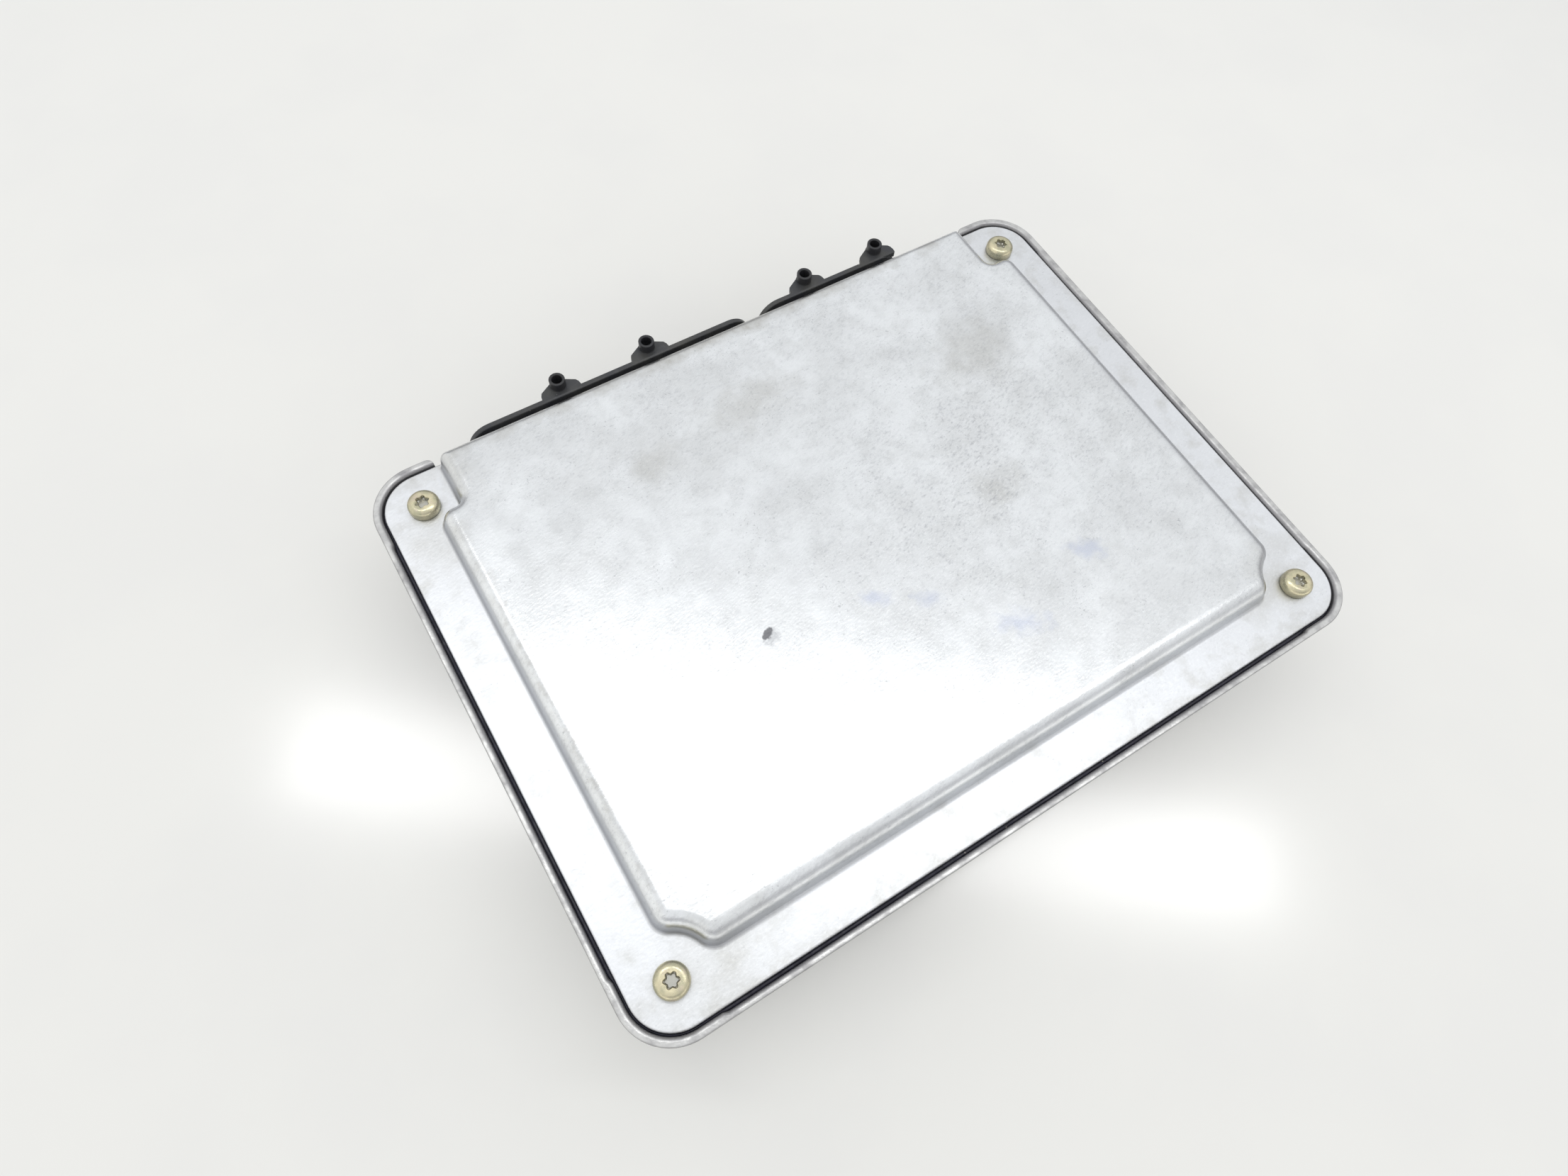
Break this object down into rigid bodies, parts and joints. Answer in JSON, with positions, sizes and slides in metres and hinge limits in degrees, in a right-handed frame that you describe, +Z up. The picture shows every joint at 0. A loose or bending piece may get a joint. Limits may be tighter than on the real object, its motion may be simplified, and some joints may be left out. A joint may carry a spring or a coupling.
{
  "type": "engine control unit",
  "caption": "Flat rectangular engine control unit: cast tub with an upstanding rim, screwed pressed cover with a raised field, and a plug header with locking studs along one side.",
  "frame": {"origin": "centre of the flat base on which the unit lies", "axes": "+X along the connector side, +Y out of the sockets, +Z up through the cover"},
  "size_m": [0.1784, 0.137, 0.0365],
  "materials": {
    "casting": "cast, dull",
    "cover_sheet": "pressed sheet, satin, cloudy and scratched",
    "sealant": "cured bead",
    "zinc_yellow": "yellow zinc",
    "black_plastic": "moulded, satin",
    "tinned_metal": "tinned",
    "board_laminate": "lacquered",
    "moulding_compound": "moulded, matt",
    "ferrite": "matt",
    "ceramic": "glazed",
    "pad_rubber": "soft, matt"
  },
  "bodies": {
    "root": {"tub": "casting", "cover": "cover_sheet", "cover_seal": "sealant", "header_seal": "sealant", "cover_screws": "zinc_yellow", "header_body": "black_plastic", "header_screws": "tinned_metal", "power_blades": "tinned_metal", "large_signal_pins": "tinned_metal", "small_signal_pins": "tinned_metal", "quartz_crystal": "tinned_metal", "electrolytic_capacitors": "tinned_metal", "circuit_board": "board_laminate", "microcontroller": "moulding_compound", "flash_memory": "moulding_compound", "working_memory": "moulding_compound", "eeprom_chip": "moulding_compound", "injector_drivers": "moulding_compound", "throttle_driver": "moulding_compound", "voltage_regulator": "moulding_compound", "output_transistors": "moulding_compound", "supply_diode": "moulding_compound", "bus_transceiver": "moulding_compound", "knock_signal_chip": "moulding_compound", "supply_choke": "ferrite", "filter_capacitors": "ceramic", "chip_resistors": "ceramic", "heat_pads": "pad_rubber"}
  },
  "joints": []
}
